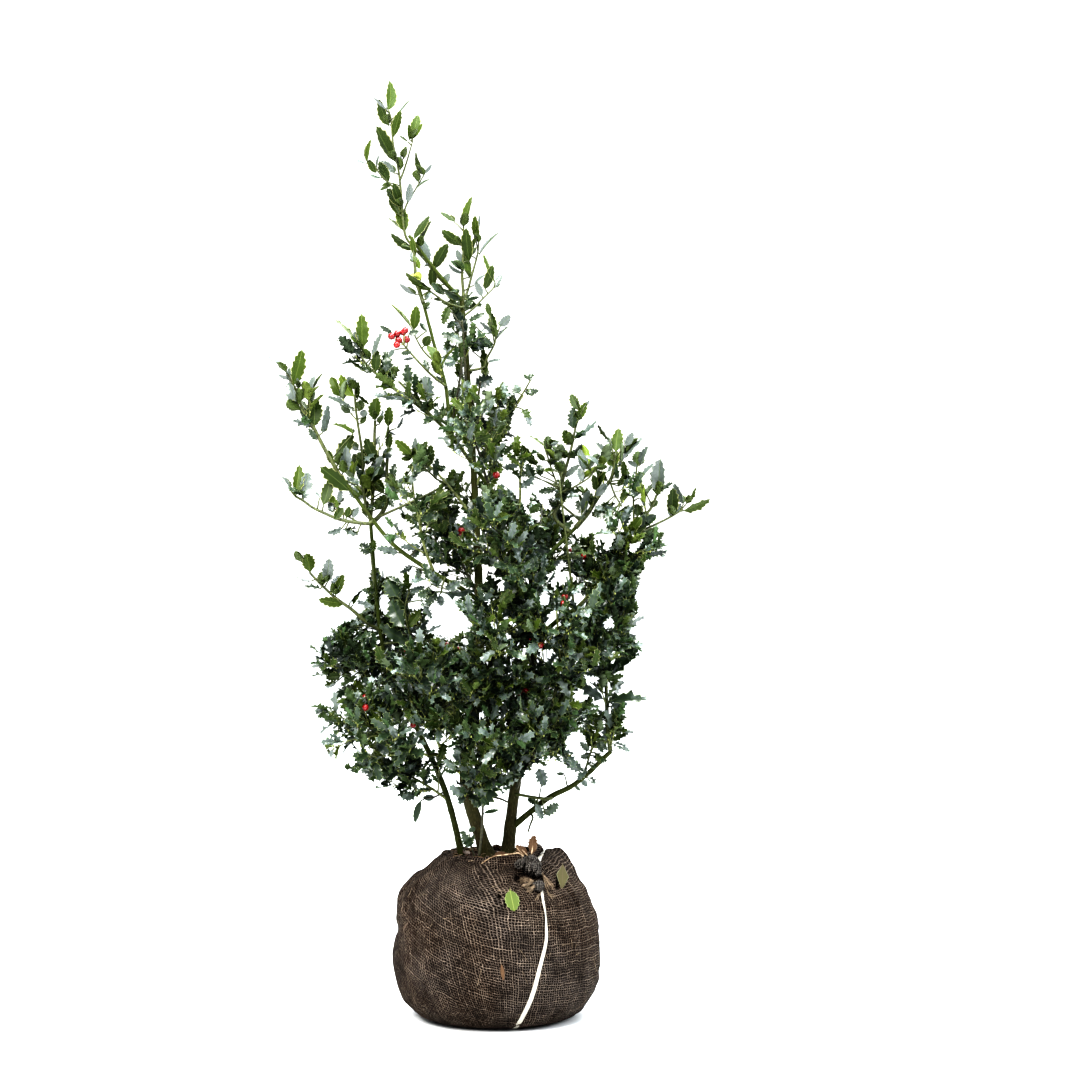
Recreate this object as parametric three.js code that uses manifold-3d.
// A young multi-stemmed holly, dug up and wrapped in burlap for planting.
// Millimetres, +Z up. The origin is the middle of the flat underside of the root ball,
// +X is the side that the longest right-hand bough reaches to, and -Y is the front.

import * as THREE from 'three';
import { mergeVertices } from 'three/addons/utils/BufferGeometryUtils.js';
import Module from 'manifold-3d';

const wasm = await Module();
wasm.setup();

// ---------------------------------------------------------------- driving dimensions

const CLEARANCE = 0.3; // between two pieces that touch

// Root ball: a squat bundle of soil in burlap, gathered to a rolled mouth round the stems.
const BALL_RADIUS = 158;
const BALL_SIDES = 28;
const BALL_PROFILE = [ // [share of BALL_RADIUS, height]
  [0.66, 0], [0.78, 7], [0.86, 19], [0.93, 36], [0.985, 62], [1.0, 93], [0.985, 124],
  [0.96, 155], [0.91, 186], [0.805, 209], [0.63, 229], [0.5, 240], [0.44, 244],
];
const RIM_SHARES = [[0.405, 242], [0.385, 232]]; // the rolled rim's inner edge, down to the soil
const BALL_LUMPS = [ // direction in degrees, height, rise of the surface, width in degrees, tallness
  { toward: 180, height: 184, rise: 6, wide: 44, tall: 22 },
  { toward: 180, height: 227, rise: -6, wide: 46, tall: 16 },
  { toward: 0, height: 182, rise: -5, wide: 38, tall: 22 },
  { toward: 5, height: 229, rise: 23, wide: 38, tall: 15 },
  { toward: 245, height: 60, rise: 4, wide: 30, tall: 34 },
  { toward: 120, height: 120, rise: 5, wide: 44, tall: 44 },
  { toward: 60, height: 50, rise: -4, wide: 30, tall: 34 },
];
const MOUTH_SHIFT = -13; // the mouth sits left of the middle
const MOUTH_SHIFT_FROM = 190; // height at which the shift begins
const MOUTH_SHIFT_TO = 231.5; // height at which it is complete
const SOIL_TOP = 240;
const SOIL_RADIUS = 59;
const SOIL_DEPTH = 7.5;
const SOIL_SIDES = 24;

// Strap: one flat polypropylene band round the ball from the knot, under it and back.
const STRAP_WIDTH = 9;
const STRAP_THICK = 2;
const STRAP_DEEP = 0.6; // its middle below the burlap at the sides
const STRAP_DEEPER = 1.3; // as much again under the ball, so that it stays off the ground
const STRAP_GROOVE = 4; // how far the groove is cut outward of the strap
const STRAP_STEPS = 28;
const STRAP_TURNS = [ // degrees round the ball from the front (-90 is under it), offset toward +X
  [44, 64], [12, 77], [-20, 62], [-46, 41], [-90, 45], [-150, 68], [-230, 76], [-292, 62],
];

// Knot: gathered burlap tied off over the strap's ends.
const KNOT_LUMPS = [ // centre, half sizes, degrees tipped forward
  { at: [36, -73, 247], half: [19, 16, 13], turn: 20 },
  { at: [54, -78, 243], half: [16, 20, 12], turn: 35 },
  { at: [55, -104, 226], half: [12, 17, 10], turn: 42 },
];

// Limbs: start (or the limb they leave and where along it), the bends, the tip and the radii.
const LIMB_SIDES = 6;
const LIMB_STEP = 58; // length of one straight stretch
const LIMB_TAPER = 1.4; // above 1, a limb thins faster near its foot
const FLARE_RISE = 34; // how far up the root flare reaches
const START_INSIDE = 3; // how far inside a limb's tip its continuation starts
const LINE_STEP = 6; // between the points that stand for a limb when distances are measured
const LIMBS = [
  { name: 'main_stem', from: [-15, 0], bends: [[-47, -8, 350], [-38, -5, 440], [-27, 0, 560],
    [-34, 6, 780], [-45, 10, 970]], to: [-55, 10, 1095], thick: 10.8, thin: 3.4, flare: 3.5 },
  { name: 'left_stem', from: [-55, 25], bends: [[-80, 32, 335], [-120, 40, 425], [-160, 40, 500],
    [-182, 30, 590]], to: [-195, 10, 755], thick: 5.2, thin: 2.6, flare: 1.5 },
  { name: 'right_stem', from: [15, 10], bends: [[25, 10, 335], [40, 0, 415], [55, -8, 560]],
    to: [50, -20, 712], thick: 9.6, thin: 4.4, flare: 4.5 },
  { name: 'crossing_bough', on: 'right_stem', at: 1, bends: [[22, -32, 755], [-38, -46, 842],
    [-80, -52, 895]], to: [-140, -58, 945], thick: 4, thin: 2.4 },
  { name: 'middle_leader', on: 'crossing_bough', at: 0.7, bends: [[-77, -45, 955], [-92, -36, 1010]],
    to: [-120, -25, 1115], thick: 2.9, thin: 2.2 },
  { name: 'top_leader', on: 'main_stem', at: 1, bends: [[-90, 0, 1132]], to: [-135, -8, 1190],
    thick: 3.1, thin: 2.4 },
  { name: 'long_left_bough', on: 'right_stem', at: 0.68, bends: [[-35, -52, 640], [-88, -58, 672],
    [-145, -60, 710], [-180, -55, 747]], to: [-230, -50, 815], thick: 4.5, thin: 2.6 },
  { name: 'low_right_bough', on: 'right_stem', at: 0.09, bends: [[75, -5, 330], [120, -20, 356]],
    to: [172, -38, 406], thick: 4.9, thin: 3.4 },
  { name: 'middle_right_bough', on: 'right_stem', at: 0.37, bends: [[78, -20, 462]],
    to: [128, -46, 522], thick: 4, thin: 3 },
  { name: 'outer_right_bough', on: 'right_stem', at: 0.7, bends: [[95, -12, 606], [132, -10, 632]],
    to: [170, -5, 695], thick: 4, thin: 2.8 },
  { name: 'upper_right_bough', on: 'right_stem', at: 0.92, bends: [[75, -12, 700], [115, 0, 740]],
    to: [136, 5, 762], thick: 3.6, thin: 2.7 },
  { name: 'low_left_bough', on: 'main_stem', at: 0.15, bends: [[-85, -50, 400]],
    to: [-104, -64, 402], thick: 4, thin: 2.8 },
  { name: 'low_back_bough', on: 'main_stem', at: 0.18, bends: [[-48, 30, 402]],
    to: [-50, 62, 420], thick: 4, thin: 2.8 },
  { name: 'back_left_bough', on: 'main_stem', at: 0.32, bends: [[-50, 30, 515]],
    to: [-82, 58, 540], thick: 3.8, thin: 2.6 },
  { name: 'back_right_bough', on: 'right_stem', at: 0.45, bends: [[72, 30, 512]],
    to: [96, 62, 540], thick: 4, thin: 2.8 },
];

// Foliage: each mass grows from one stem, from its limb (at = 1 is the limb's tip) toward a
// furthest leaf tip. reach is how far its leaves stand out from that stem, twigs how many
// side twigs it has, leaves how many grow on the stem, and leaf their size beside a plain one.
const MASSES = [ // name, on, at, to, reach, twigs, leaves, leaf
  ['top', 'top_leader', 1, [-166, -5, 1425], 46, 4, 12, 0.82],
  ['right_top', 'main_stem', 0.965, [-45, 10, 1252], 50, 3, 7, 0.85],
  ['right_shoulder', 'main_stem', 0.92, [0, -22, 1160], 46, 2, 5, 0.85],
  ['upper_trunk', 'main_stem', 0.83, [18, 20, 1070], 58, 4, 5, 0.95],
  ['middle_leader', 'middle_leader', 1, [-112, -32, 1228], 44, 1, 6, 0.85],
  ['berried', 'middle_leader', 0.3, [-168, -75, 1048], 48, 2, 4, 0.85],
  ['upper_left', 'crossing_bough', 1, [-236, -50, 1062], 55, 4, 6, 0.85],
  ['upper_back', 'main_stem', 0.7, [-72, 70, 1110], 62, 5, 5, 1.05],
  ['high_right', 'main_stem', 0.66, [52, -15, 970], 52, 3, 6, 0.9],
  ['inner_left', 'main_stem', 0.6, [-150, -15, 885], 58, 3, 5, 0.95],
  ['high_front', 'crossing_bough', 0.35, [-45, -140, 925], 70, 5, 5, 1.1],
  ['high_back', 'main_stem', 0.5, [0, 140, 930], 78, 6, 5, 1.25],
  ['middle_top', 'crossing_bough', 0.1, [42, -60, 875], 56, 4, 5, 0.95],
  ['far_left', 'long_left_bough', 1, [-345, -40, 1006], 50, 4, 9, 0.82],
  ['left_side', 'long_left_bough', 0.84, [-326, -60, 826], 42, 3, 6, 0.75],
  ['left_shoot', 'left_stem', 1, [-232, 0, 965], 52, 4, 8, 0.85],
  ['left_twin', 'left_stem', 0.93, [-160, 30, 940], 50, 4, 7, 0.85],
  ['left_low_shoot', 'left_stem', 0.66, [-303, 20, 706], 40, 3, 7, 0.75],
  ['left_middle', 'long_left_bough', 0.5, [-128, -125, 860], 70, 5, 5, 1.15],
  ['middle_front', 'right_stem', 0.6, [-10, -150, 790], 80, 7, 6, 1.35],
  ['middle_back', 'right_stem', 0.78, [70, 150, 800], 84, 5, 5, 1.35],
  ['front_right', 'middle_right_bough', 0.5, [90, -150, 640], 80, 6, 6, 1.35],
  ['middle_right', 'upper_right_bough', 0.5, [122, 30, 950], 52, 5, 8, 0.9],
  ['upper_right', 'upper_right_bough', 1, [184, 5, 895], 56, 5, 7, 0.9],
  ['outer_right', 'outer_right_bough', 1, [244, -10, 838], 50, 5, 7, 0.9],
  ['far_right', 'outer_right_bough', 0.93, [320, 12, 788], 38, 2, 8, 0.7],
  ['right_edge', 'outer_right_bough', 0.5, [214, -60, 735], 66, 5, 5, 1.15],
  ['right_middle', 'middle_right_bough', 1, [212, -70, 650], 62, 5, 5, 1.15],
  ['low_right', 'low_right_bough', 1, [190, -20, 585], 55, 4, 6, 0.95],
  ['back_right', 'back_right_bough', 1, [170, 150, 700], 82, 6, 5, 1.35],
  ['low_back_right', 'right_stem', 0.25, [125, 125, 490], 80, 5, 5, 1.35],
  ['low_inner_right', 'right_stem', 0.2, [95, -120, 480], 78, 5, 5, 1.25],
  ['low_left', 'low_left_bough', 1, [-228, -95, 476], 78, 5, 5, 1.3],
  ['left_front', 'low_left_bough', 0.6, [-115, -160, 560], 78, 6, 5, 1.35],
  ['low_front', 'main_stem', 0.2, [10, -160, 625], 80, 6, 5, 1.35],
  ['left_edge', 'left_stem', 0.38, [-262, 10, 575], 70, 5, 6, 1.2],
  ['back_left', 'back_left_bough', 1, [-230, 115, 640], 76, 5, 5, 1.25],
  ['low_back', 'low_back_bough', 1, [-115, 165, 530], 84, 6, 5, 1.4],
  ['low_left_under', 'left_stem', 0.16, [-205, 0, 395], 60, 5, 4, 1.2],
  ['low_middle', 'main_stem', 0.1, [8, -142, 448], 74, 5, 4, 1.25],
  ['middle_left', 'main_stem', 0.46, [-118, 45, 800], 66, 5, 5, 1.2],
].map(([name, on, at, to, reach, twigs, leaves, leaf]) => ({
  name: `${name}_foliage`, on, at, to, reach, twigs, leaves, leaf,
}));
const SKY_GAPS = [ // openings right through the crown: middle [x, z] and half sizes
  { middle: [-72, 597], half: [30, 29] },
  { middle: [-135, 655], half: [20, 24] },
];

// One leaf, larger than life because the solids have fewer of them than the tree.
const LEAF_LENGTH = 58;
const LEAF_SLIM = 0.46; // width as a share of the length
const LEAF_THICK = 1.5;
const LEAF_KEEL = 0.05; // share of the length at which the midrib is thickest
const LEAF_WIDEST = 0.42; // share of the length at which the blade is widest
const LEAF_CUP = 1; // how far the edges stand above the line from root to tip
const LEAF_DROOP = 4; // how far the tip hangs
const SIDE_LEAVES = [0.5]; // shares of a twig's length
const CROWN_MIDDLE = [-10, 0];
const STEM_THICK = 2.2;
const STEM_THIN = 1.1;
const STEM_STEP = 60; // length of one straight stretch of a stem
const STEM_POINTS = 24; // points that stand for a stem when distances are measured
const TWIG_SHARE = 0.62; // a twig's radius at its foot, as a share of its stem's there
const TWIG_LEAN = 58; // degrees between a twig and its stem
const TWIG_RISE = 0.2; // how strongly a twig turns up
const SHORTEST_TWIG = 12;
const TIP_LEAN = 12; // degrees between a twig and the leaf at its tip
const SIDE_LEAN = 51; // degrees between a twig or stem and the leaves down its length
const GOLDEN_ANGLE = THREE.MathUtils.degToRad(137.5);
const SPACE_MARGIN = 2.5; // a twig is this much nearer to its own stem than to any other
const BORDER_OVER = 16; // a leaf may cross the border of its space by this much
const LIMB_MARGIN = 6; // leaf to a limb's bark
const TWIG_MARGIN = 2.4; // middle of a twig to a limb's bark
const LEAF_MARGIN = 5.5; // between two leaves of a mass
const ROOT_ROOM = 12; // round a leaf's own root, where the last rule does not hold
const LOWEST_LEAF = 300;
const TRIES = 9; // directions tried for one leaf or twig before it is skipped
const BERRY_RADIUS = 5.5;
const BERRIES = { mass: 'berried_foliage', count: 5, at: 0.76, apart: 7.5 };

const COLOURS = {
  burlap: '#4a3a2e', soil: '#33261c', strap: '#d9d6cf', bark: '#5d5a3c', leaves: '#2f4a2c',
};
const UP = new THREE.Vector3(0, 0, 1);

// ---------------------------------------------------------------- chance

// A repeatable number from 0 to 1 for item number `index` of the piece with this seed.
function chance(seed, index) {
  const wave = Math.sin(seed * 12.9898 + index * 78.233) * 43758.5453;
  return wave - Math.floor(wave);
}

// ---------------------------------------------------------------- solids

// The closed solid of a geometry, with shared corners joined and its faces pointing out.
function solidOf(geometry) {
  const bare = geometry.clone();
  bare.deleteAttribute('normal');
  bare.deleteAttribute('uv');
  const merged = mergeVertices(bare, 1e-4);
  const points = merged.getAttribute('position').array;
  const faces = [];
  let volume = 0;
  for (let i = 0; i < merged.index.count; i += 3) {
    const [a, b, c] = [0, 1, 2].map((k) => merged.index.getX(i + k));
    if (a === b || b === c || c === a) continue;
    faces.push([a, b, c]);
    const [p, q, r] = [a, b, c].map((k) => new THREE.Vector3().fromArray(points, 3 * k));
    volume += p.dot(q.cross(r));
  }
  const outward = volume < 0 ? faces.map(([a, b, c]) => [a, c, b]) : faces;
  return new wasm.Manifold(new wasm.Mesh({
    numProp: 3,
    vertProperties: Float32Array.from(points),
    triVerts: Uint32Array.from(outward.flat()),
  }));
}

// The largest piece of a solid, with loose scraps and sealed hollows left out.
function mainPiece(solid) {
  const pieces = solid.decompose();
  return pieces.reduce((best, piece) => (piece.volume() > best.volume() ? piece : best));
}

function meshOf(name, solid, colour, roughness) {
  const { vertProperties, triVerts } = solid.getMesh();
  const geometry = new THREE.BufferGeometry();
  geometry.setAttribute('position', new THREE.BufferAttribute(vertProperties, 3));
  geometry.setIndex(new THREE.BufferAttribute(triVerts, 1));
  geometry.computeVertexNormals();
  const finish = new THREE.MeshStandardMaterial({ color: colour, roughness, metalness: 0 });
  const mesh = new THREE.Mesh(geometry, finish);
  mesh.name = name;
  return mesh;
}

// Moves every vertex of a geometry to where `place` puts it.
function reshape(geometry, place) {
  const position = geometry.getAttribute('position');
  const point = new THREE.Vector3();
  for (let i = 0; i < position.count; i += 1) {
    point.fromBufferAttribute(position, i);
    place(point);
    position.setXYZ(i, point.x, point.y, point.z);
  }
  return geometry;
}

// ---------------------------------------------------------------- root ball

// How far the burlap bulges at a direction (degrees) and height.
function bulge(direction, height) {
  return BALL_LUMPS.reduce((sum, lump) => {
    const turn = THREE.MathUtils.euclideanModulo(direction - lump.toward + 180, 360) - 180;
    const fall = (turn / lump.wide) ** 2 + ((height - lump.height) / lump.tall) ** 2;
    return sum + lump.rise * Math.exp(-fall);
  }, 0);
}

// The root ball's body: a lathed bag with its bulges, its mouth set to the left.
function ballSolid(grow) {
  const outline = BALL_PROFILE.map(([share, height]) => [share * BALL_RADIUS + grow, height]);
  const rim = RIM_SHARES.map(([share, height]) => [share * BALL_RADIUS - grow, height]);
  const profile = [[0, 0], ...outline, ...rim, [0, SOIL_TOP - SOIL_DEPTH - CLEARANCE]];
  const lathe = new THREE.LatheGeometry(profile.map((corner) => new THREE.Vector2(...corner)), BALL_SIDES);
  lathe.rotateX(Math.PI / 2);
  return solidOf(reshape(lathe, (point) => {
    const height = point.z;
    const radius = Math.hypot(point.x, point.y);
    const direction = THREE.MathUtils.radToDeg(Math.atan2(point.y, point.x));
    const loose = THREE.MathUtils.smoothstep(radius / BALL_RADIUS, 0.45, 0.62);
    const rise = bulge(direction, height) * loose;
    const facing = THREE.MathUtils.degToRad(80) * THREE.MathUtils.smoothstep(height, 200, 240);
    const scale = radius > 0 ? 1 + (rise * Math.cos(facing)) / radius : 1;
    const shift = MOUTH_SHIFT * THREE.MathUtils.smoothstep(height, MOUTH_SHIFT_FROM, MOUTH_SHIFT_TO);
    const lifted = height + rise * Math.sin(facing) + grow * (height > 0);
    point.set(point.x * scale + shift, point.y * scale, lifted);
  }));
}

function soilSolid() {
  const profile = [
    [0, -SOIL_DEPTH], [SOIL_RADIUS, -SOIL_DEPTH], [SOIL_RADIUS, -2], [SOIL_RADIUS - 8, 0], [0, 0],
  ];
  const disc = new THREE.LatheGeometry(profile.map((corner) => new THREE.Vector2(...corner)), SOIL_SIDES);
  disc.rotateX(Math.PI / 2);
  disc.translate(MOUTH_SHIFT, 0, SOIL_TOP);
  return solidOf(disc);
}

// ---------------------------------------------------------------- strap and knot

function strapOffset(turn) {
  const next = Math.max(1, STRAP_TURNS.findIndex(([at]) => at <= turn));
  const [from, fromOffset] = STRAP_TURNS[next - 1];
  const [to, toOffset] = STRAP_TURNS[next];
  return THREE.MathUtils.mapLinear(turn, from, to, fromOffset, toOffset);
}

// Each entry of a list of vectors averaged with its neighbours.
function smoothed(list) {
  return list.map((item, i) => {
    const before = list[Math.max(i - 1, 0)];
    const after = list[Math.min(i + 1, list.length - 1)];
    return item.clone().multiplyScalar(2).add(before).add(after).divideScalar(4);
  });
}

// The strap's middle line just under the burlap, and the way its broad face looks there.
function strapRoute(ball) {
  const target = new THREE.Mesh(meshOf('', ball, COLOURS.burlap, 1).geometry);
  const first = STRAP_TURNS[0][0];
  const last = STRAP_TURNS[STRAP_TURNS.length - 1][0];
  const turns = Array.from({ length: STRAP_STEPS + 1 }, (_, i) => (
    first + (last - first) * (i / STRAP_STEPS)));
  const outward = (turn) => {
    const angle = THREE.MathUtils.degToRad(turn);
    return new THREE.Vector3(0, -Math.cos(angle), Math.sin(angle));
  };
  const offsets = turns.map((turn) => new THREE.Vector3(strapOffset(turn), 0, BALL_RADIUS * 0.7));
  const middles = smoothed(smoothed(offsets));
  const hits = turns.map((turn, i) => {
    const start = middles[i].clone().addScaledVector(outward(turn), 3 * BALL_RADIUS);
    return new THREE.Raycaster(start, outward(turn).negate()).intersectObject(target)[0];
  });
  const normals = hits.map((hit) => hit.face.normal);
  const faces = smoothed(smoothed(smoothed(normals))).map((face) => face.normalize());
  return hits.map((hit, i) => {
    const deep = STRAP_DEEP + STRAP_DEEPER * Math.max(0, -faces[i].z);
    return { point: hit.point.addScaledVector(faces[i], -deep), face: faces[i] };
  });
}

// A flat band along the route; `grow` widens it and `raise` carries it outward, for its groove.
function strapSolid(route, grow, raise) {
  const band = new THREE.BoxGeometry(STRAP_WIDTH + 2 * grow, 1, 1, 1, 1, STRAP_STEPS);
  return solidOf(reshape(band, (corner) => {
    const step = Math.round((corner.z + 0.5) * STRAP_STEPS);
    const before = route[Math.max(step - 1, 0)].point;
    const after = route[Math.min(step + 1, STRAP_STEPS)].point;
    const { point, face } = route[step];
    const along = after.clone().sub(before).normalize();
    const side = along.clone().cross(face).normalize();
    const outward = side.clone().cross(along).normalize();
    const across = side.multiplyScalar(corner.x);
    const rise = corner.y > 0 ? STRAP_THICK / 2 + grow + raise : -STRAP_THICK / 2 - grow;
    const ends = step === 0 ? -grow : grow * (step === STRAP_STEPS);
    corner.copy(point).add(across).addScaledVector(outward, rise).addScaledVector(along, ends);
  }));
}

function knotSolid() {
  const lumps = KNOT_LUMPS.map(({ at, half, turn }) => {
    const lump = new THREE.IcosahedronGeometry(1, 1);
    lump.scale(...half);
    lump.rotateX(THREE.MathUtils.degToRad(turn));
    lump.translate(...at);
    return solidOf(lump);
  });
  return wasm.Manifold.union(lumps);
}

// ---------------------------------------------------------------- limbs

// A tapering tube: a cylinder whose rings are carried along a curve.
function tubeSolid(curve, sides, steps, radiusAt, grow = 0, foot = null) {
  const tube = new THREE.CylinderGeometry(1, 1, 1, sides, steps);
  const frames = curve.computeFrenetFrames(steps, false);
  return solidOf(reshape(tube, (point) => {
    const ring = Math.round((point.y + 0.5) * steps);
    const radius = radiusAt(ring / steps) + grow;
    const out = frames.normals[ring].clone().multiplyScalar(point.x * radius);
    out.addScaledVector(frames.binormals[ring], point.z * radius);
    const ends = ring === 0 ? -grow : grow * (ring === steps);
    point.copy(curve.getPointAt(ring / steps)).add(out).addScaledVector(frames.tangents[ring], ends);
    if (foot !== null && ring === 0) point.z = foot - grow;
  }));
}

// The point on a limb's middle line where what grows from it starts, a little inside its tip.
function startOn(parent, at) {
  const back = at === 1 ? START_INSIDE : 0;
  return parent.curve.getPointAt(at).addScaledVector(parent.curve.getTangentAt(at), -back);
}

function limbCurve(limb) {
  const bends = limb.bends.map((bend) => new THREE.Vector3(...bend));
  const parent = limbs.get(limb.on);
  const start = parent
    ? startOn(parent, limb.at)
    : new THREE.Vector3(...limb.from, SOIL_TOP + CLEARANCE);
  return new THREE.CatmullRomCurve3([start, ...bends, new THREE.Vector3(...limb.to)], false, 'catmullrom');
}

function growLimb(limb) {
  const curve = limbCurve(limb);
  const length = curve.getLength();
  const steps = Math.max(3, Math.round(length / LIMB_STEP));
  const radiusAt = (share) => limb.thin + (limb.thick - limb.thin) * (1 - share) ** LIMB_TAPER
    + (limb.flare ?? 0) * Math.max(0, 1 - (share * length) / FLARE_RISE) ** 2;
  const foot = limb.on ? null : SOIL_TOP + CLEARANCE;
  const shape = (grow) => tubeSolid(curve, LIMB_SIDES, steps, radiusAt, grow, foot);
  const parent = limbs.get(limb.on);
  const solid = parent ? mainPiece(shape(0).subtract(parent.cleared)) : shape(0);
  const parts = Math.round(length / LINE_STEP);
  const line = curve.getSpacedPoints(parts).map((point, i) => ({ point, radius: radiusAt(i / parts) }));
  limbs.set(limb.name, { curve, radiusAt, solid, line, cleared: shape(CLEARANCE) });
}

// ---------------------------------------------------------------- foliage

// Where a mass's stem runs, and how thick it is.
function stemOf(mass, seed) {
  const parent = limbs.get(mass.on);
  const along = parent.curve.getTangentAt(mass.at);
  const root = startOn(parent, mass.at);
  const tip = new THREE.Vector3(...mass.to);
  const span = tip.clone().sub(root);
  tip.addScaledVector(span.clone().normalize(), -0.92 * LEAF_LENGTH * mass.leaf);
  const leave = span.clone().normalize().addScaledVector(along, mass.at === 1 ? 1 : 0.3).normalize();
  const bend = root.clone().addScaledVector(leave, span.length() * 0.45);
  const bow = new THREE.QuadraticBezierCurve3(root, bend, tip);
  const steps = Math.max(2, Math.round(bow.getLength() / STEM_STEP));
  const corners = bow.getSpacedPoints(steps);
  const curve = new THREE.CurvePath();
  corners.slice(1).forEach((corner, i) => curve.add(new THREE.LineCurve3(corners[i], corner)));
  const thick = Math.min(STEM_THICK, 0.8 * parent.radiusAt(mass.at));
  const line = curve.getSpacedPoints(STEM_POINTS);
  return { mass, seed, curve, steps, thick, line, solids: [], boxes: [], taken: [], twigs: [] };
}

const stemRadius = (stem, share) => stem.thick + (STEM_THIN - stem.thick) * share;

// A direction at `lean` degrees from `along`, turned by `roll` radians round it.
function splay(along, lean, roll) {
  const side = along.clone().cross(Math.abs(along.z) > 0.9 ? new THREE.Vector3(1, 0, 0) : UP).normalize();
  const over = side.clone().cross(along);
  const angle = THREE.MathUtils.degToRad(lean);
  return along.clone().multiplyScalar(Math.cos(angle))
    .addScaledVector(side, Math.sin(angle) * Math.cos(roll))
    .addScaledVector(over, Math.sin(angle) * Math.sin(roll));
}

const nearest = (line, point) => Math.min(...line.map((other) => other.distanceTo(point)));

function inGap(point, { middle, half }) {
  return Math.hypot((point.x - middle[0]) / half[0], (point.z - middle[1]) / half[1]) < 1;
}

// True where a point lies in this stem's space: above the ball, out of the sky gaps, within
// its reach, and not past the border with any other stem's space by more than `over`.
function inOwnSpace(point, stem, over) {
  if (point.z < LOWEST_LEAF || SKY_GAPS.some((gap) => inGap(point, gap))) return false;
  const own = nearest(stem.line, point);
  if (own > stem.mass.reach) return false;
  return stems.every((other) => other === stem || nearest(other.line, point) > own - over);
}

function clearOfLimbs(point, margin) {
  return [...limbs.values()].every(({ line }) => (
    line.every((part) => part.point.distanceTo(point) > part.radius + margin)));
}

// A leaf's own directions: its blade looks up and away from the middle of the crown.
function leafFrame(root, direction, roll) {
  const look = new THREE.Vector3(root.x - CROWN_MIDDLE[0], root.y - CROWN_MIDDLE[1], 0).normalize().add(UP);
  const side = direction.clone().cross(look).normalize().applyAxisAngle(direction, roll);
  return { root, direction, side, over: side.clone().cross(direction) };
}

function leafPoint({ root, direction, side, over }, length, along, across, rise) {
  return root.clone().addScaledVector(direction, along * length)
    .addScaledVector(side, (across * length * LEAF_SLIM) / 2).addScaledVector(over, rise);
}

// A leaf: six faces over a keeled midrib, from its root inside the twig to its drooping tip.
function leafSolid(frame, length, grow = 0) {
  const outline = [[0, 0], [1, 0.5], [0, 1]].map((corner) => new THREE.Vector2(...corner));
  const blade = new THREE.LatheGeometry(outline, 3);
  const wide = 1 + grow / 10;
  return solidOf(reshape(blade, (corner) => {
    const { x, y } = corner;
    const edge = wide * Math.sign(x);
    if (y < 0.1) corner.copy(leafPoint(frame, length, 0, 0, grow));
    else if (y > 0.9) corner.copy(leafPoint(frame, length * wide, 1, 0, grow - LEAF_DROOP));
    else if (Math.abs(x) > 0.1) corner.copy(leafPoint(frame, length, LEAF_WIDEST, edge, grow + LEAF_CUP));
    else corner.copy(leafPoint(frame, length, LEAF_KEEL, 0, -grow - LEAF_THICK));
  }));
}

function leafSamples(frame, length) {
  const edge = [0.22, LEAF_WIDEST, 0.62, 0.82];
  const middle = [0.3, 0.5, 0.7, 0.85, 1];
  const half = (share) => Math.min(share / LEAF_WIDEST, (1 - share) / (1 - LEAF_WIDEST));
  const side = (share, across) => leafPoint(frame, length, share, across * half(share), LEAF_CUP);
  return [
    ...middle.map((share) => leafPoint(frame, length, share, 0, -LEAF_DROOP * share)),
    ...edge.flatMap((share) => [side(share, -1), side(share, 1)]),
  ];
}

const boxesMeet = (one, two) => [0, 1, 2].every((k) => one.min[k] < two.max[k] && two.min[k] < one.max[k]);

// True where a solid touches a twig or leaf of another mass.
function meetsOthers(solid, stem) {
  const box = solid.boundingBox();
  return stems.some((other) => other !== stem
    && other.solids.some((part, i) => boxesMeet(box, other.boxes[i]) && !part.intersect(solid).isEmpty()));
}

function addSolid(stem, solid, samples) {
  stem.solids.push(solid);
  stem.boxes.push(solid.boundingBox());
  stem.taken.push(...samples);
}

// The first of a few leaves, each turned on from the last, that stays in its space and
// clear of the mass's own twigs and leaves, of its neighbours' and of the limbs.
function growLeaf(stem, { twig, share, lean, roll, item }) {
  const length = LEAF_LENGTH * stem.mass.leaf * (0.85 + 0.3 * chance(stem.seed, item));
  const root = twig.getPoint(share);
  for (let attempt = 0; attempt < TRIES; attempt += 1) {
    const direction = splay(twig.getTangent(share), lean + (attempt % 3) * 9, roll + attempt * 0.9);
    const frame = leafFrame(root, direction, (chance(stem.seed, item + 0.5) - 0.5) * 1.2);
    const samples = leafSamples(frame, length);
    const near = stem.taken.filter((other) => other.distanceTo(root) >= ROOT_ROOM);
    const fits = samples.every((point) => inOwnSpace(point, stem, BORDER_OVER)
      && clearOfLimbs(point, LIMB_MARGIN)
      && near.every((other) => other.distanceTo(point) > LEAF_MARGIN));
    if (fits && !meetsOthers(leafSolid(frame, length, 1), stem)) {
      addSolid(stem, leafSolid(frame, length), samples);
      return;
    }
  }
}

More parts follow.
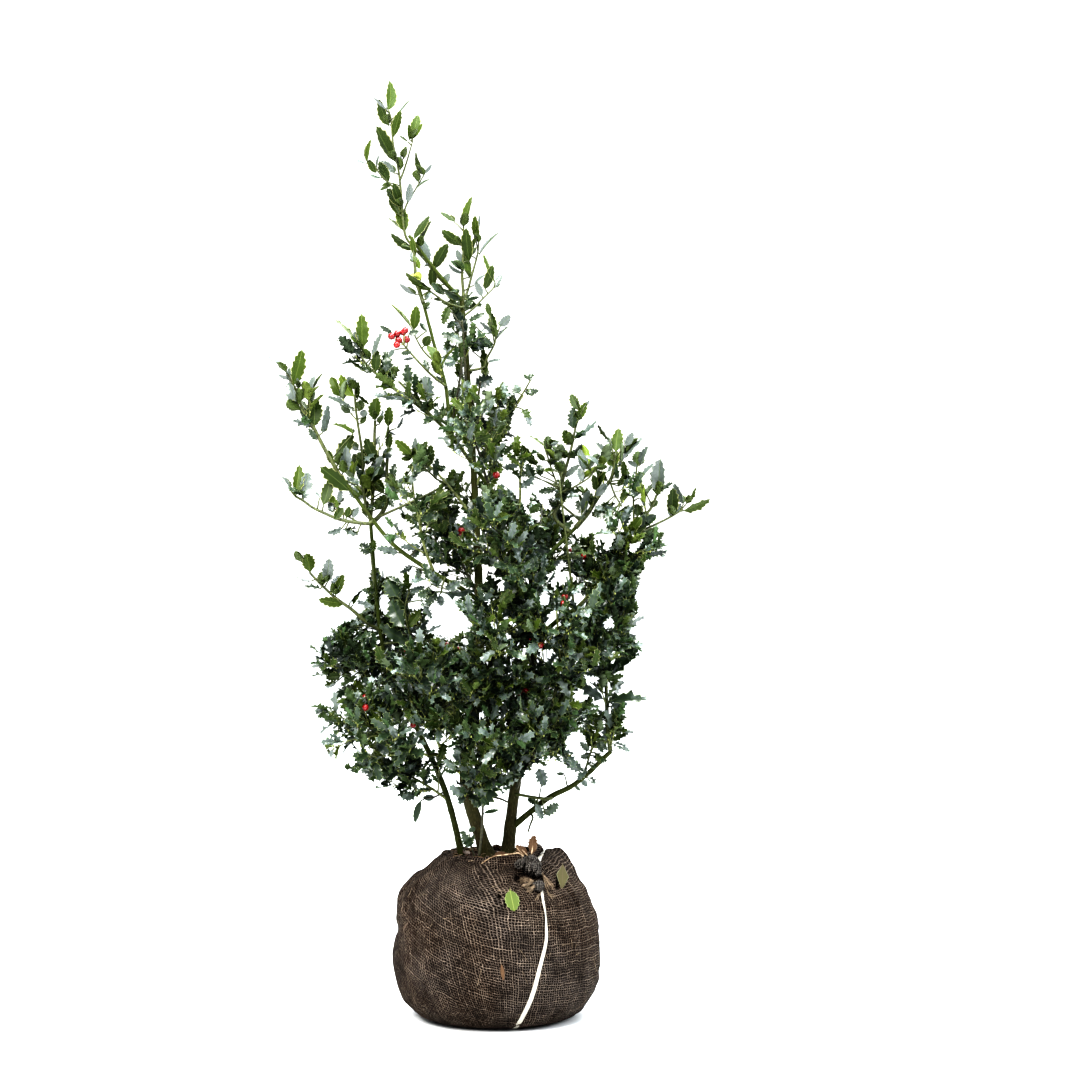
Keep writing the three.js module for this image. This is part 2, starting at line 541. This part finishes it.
// The first of a few side twigs that stays in its space.
function growTwig(stem, index) {
  const { mass, seed, curve } = stem;
  const share = 0.16 + (0.76 * (index + 0.5)) / mass.twigs;
  const root = curve.getPoint(share);
  const along = curve.getTangent(share);
  const room = mass.reach - 0.5 * LEAF_LENGTH * mass.leaf;
  const full = Math.max(SHORTEST_TWIG, room * (0.8 + 0.5 * chance(seed, index + 20)));
  for (let attempt = 0; attempt < TRIES; attempt += 1) {
    const length = full * (1 - 0.08 * attempt);
    const roll = (index + attempt * 0.4) * GOLDEN_ANGLE + chance(seed, 1) * Math.PI * 2;
    const direction = splay(along, TWIG_LEAN, roll).addScaledVector(UP, TWIG_RISE).normalize();
    const twig = new THREE.LineCurve3(root, root.clone().addScaledVector(direction, length));
    const points = twig.getSpacedPoints(10).slice(1);
    if (points.every((point) => inOwnSpace(point, stem, -SPACE_MARGIN) && clearOfLimbs(point, TWIG_MARGIN))) {
      const foot = TWIG_SHARE * stemRadius(stem, share);
      addSolid(stem, tubeSolid(twig, 3, 1, (t) => foot * (1 - t)), points);
      stem.twigs.push({ twig, roll, index });
      return;
    }
  }
}

function growBerries(stem) {
  const middle = stem.curve.getPoint(BERRIES.at);
  const along = stem.curve.getTangent(BERRIES.at);
  for (let i = 0; i < BERRIES.count; i += 1) {
    const out = splay(along, 90, i * GOLDEN_ANGLE).multiplyScalar(BERRY_RADIUS);
    const centre = middle.clone().add(out).addScaledVector(along, (i - BERRIES.count / 2) * BERRIES.apart);
    const berry = new THREE.OctahedronGeometry(BERRY_RADIUS, 0);
    berry.translate(...centre);
    addSolid(stem, solidOf(berry), [centre]);
  }
}

// The wood of a mass: its stem, its side twigs and any berries.
function growWood(stem) {
  const { mass, curve } = stem;
  addSolid(stem, tubeSolid(curve, 3, stem.steps, (t) => stemRadius(stem, t)), stem.line);
  if (mass.name === BERRIES.mass) growBerries(stem);
  for (let index = 0; index < mass.twigs; index += 1) growTwig(stem, index);
}

// Where the leaves of a mass start: at its tip, at each twig's tip, and down twigs and stem.
function leafPlaces(stem) {
  const { mass, curve, seed } = stem;
  const tips = [{ twig: curve, share: 0.985, lean: 4, roll: 0, item: 50 }];
  const sides = [];
  stem.twigs.forEach(({ twig, roll, index }) => {
    tips.push({ twig, share: 0.9, lean: TIP_LEAN, roll, item: 100 + index * 10 });
    SIDE_LEAVES.forEach((share, leaf) => {
      const turned = roll + (leaf + 1) * GOLDEN_ANGLE;
      sides.push({ twig, share, lean: SIDE_LEAN, roll: turned, item: 101 + index * 10 + leaf });
    });
  });
  const rolled = chance(seed, 2) * Math.PI * 2;
  for (let index = 0; index < mass.leaves; index += 1) {
    const share = 0.2 + (0.76 * (index + 0.5)) / mass.leaves;
    const roll = (index + 0.5) * GOLDEN_ANGLE + rolled;
    sides.push({ twig: curve, share, lean: SIDE_LEAN, roll, item: 60 + index });
  }
  return { tips, sides };
}

// A mass as one solid, cut clear of the limb it grows from and of any other beside its foot.
function massSolid(stem) {
  const whole = mainPiece(wasm.Manifold.union(stem.solids));
  const box = whole.boundingBox();
  const near = [...limbs.values()].filter(({ cleared }) => boxesMeet(box, cleared.boundingBox()));
  return mainPiece(near.reduce((solid, { cleared }) => solid.subtract(cleared), whole));
}

// ---------------------------------------------------------------- the plant

const plant = new THREE.Group();
const limbs = new Map();

const bag = ballSolid(0);
const route = strapRoute(bag);
const groove = strapSolid(route, CLEARANCE, STRAP_GROOVE);
plant.add(meshOf('root_ball', mainPiece(bag.subtract(groove)), COLOURS.burlap, 0.95));
plant.add(meshOf('soil_surface', soilSolid(), COLOURS.soil, 1));
plant.add(meshOf('tie_strap', strapSolid(route, 0, 0), COLOURS.strap, 0.5));
const knot = knotSolid().subtract(ballSolid(CLEARANCE)).subtract(strapSolid(route, CLEARANCE, 0));
plant.add(meshOf('burlap_knot', mainPiece(knot), COLOURS.burlap, 0.95));

LIMBS.forEach(growLimb);
limbs.forEach(({ solid }, name) => plant.add(meshOf(name, solid, COLOURS.bark, 0.8)));

const stems = MASSES.map((mass, index) => stemOf(mass, index + 1));
stems.forEach(growWood);
const places = stems.map(leafPlaces);
stems.forEach((stem, i) => places[i].tips.forEach((place) => growLeaf(stem, place)));
stems.forEach((stem, i) => places[i].sides.forEach((place) => growLeaf(stem, place)));
stems.forEach((stem) => plant.add(meshOf(stem.mass.name, massSolid(stem), COLOURS.leaves, 0.35)));

export default plant;
